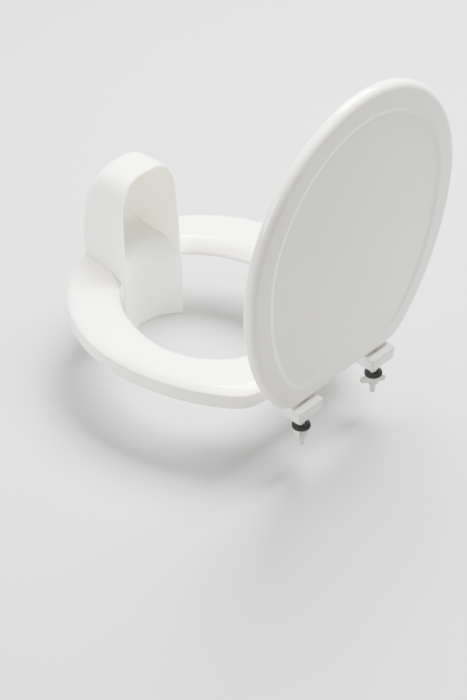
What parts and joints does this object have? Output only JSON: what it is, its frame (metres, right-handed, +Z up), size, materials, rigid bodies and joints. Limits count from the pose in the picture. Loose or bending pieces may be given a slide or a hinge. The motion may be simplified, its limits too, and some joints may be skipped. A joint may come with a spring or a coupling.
{
  "type": "toilet seat with splash guard",
  "caption": "Round-front toilet seat with an open lid on pinned hinges, bolts for the bowl, and a hooded splash guard that sits over the front of the ring.",
  "frame": {"origin": "midway between the two mounting bolts, on the bowl's deck that the hinge posts stand on", "axes": "+Z up, +X to the seated person's left, -Y towards the front of the seat"},
  "size_m": [0.364, 0.4545, 0.5186],
  "materials": {
    "seat_enamel": "baked white enamel on moulded board, glossy",
    "guard_plastic": "moulded white plastic, glossy",
    "hinge_plastic": "moulded white plastic, satin gloss",
    "bumper_plastic": "soft white plastic",
    "washer_rubber": "black rubber",
    "plated_steel": "zinc-plated",
    "nylon": "natural nylon"
  },
  "bodies": {
    "base": {"hinge_post_left": "hinge_plastic", "hinge_post_right": "hinge_plastic", "hinge_pin_left": "nylon", "hinge_pin_right": "nylon", "bolt_cap_left": "hinge_plastic", "bolt_cap_right": "hinge_plastic", "mounting_bolts": "nylon", "rubber_washers": "washer_rubber", "flat_washers": "plated_steel", "wing_nuts": "nylon"},
    "ring": {"seat_ring": "seat_enamel", "ring_leaf_left": "hinge_plastic", "ring_leaf_right": "hinge_plastic", "ring_bumper_front_left": "bumper_plastic", "ring_bumper_front_right": "bumper_plastic", "ring_bumper_rear_left": "bumper_plastic", "ring_bumper_rear_right": "bumper_plastic", "ring_leaf_screws": "plated_steel"},
    "lid": {"lid": "seat_enamel", "lid_leaf_left": "hinge_plastic", "lid_leaf_right": "hinge_plastic", "lid_bumper_left": "bumper_plastic", "lid_bumper_right": "bumper_plastic", "lid_leaf_screws": "plated_steel"},
    "guard": {"splash_guard": "guard_plastic"}
  },
  "joints": [
    {"name": "ring_hinge", "type": "hinge", "parent": "base", "child": "ring", "pos_m": [0, -0.0165, 0.0265], "axis": [-1, 0, 0], "range_deg": [0, 22]},
    {"name": "lid_hinge", "type": "hinge", "parent": "base", "child": "lid", "pos_m": [0, -0.0165, 0.0265], "axis": [1, 0, 0], "range_deg": [0, 30]},
    {"name": "guard_lift", "type": "slide", "parent": "ring", "child": "guard", "axis": [0, 0, 1], "range_m": [0, 0.122]}
  ]
}
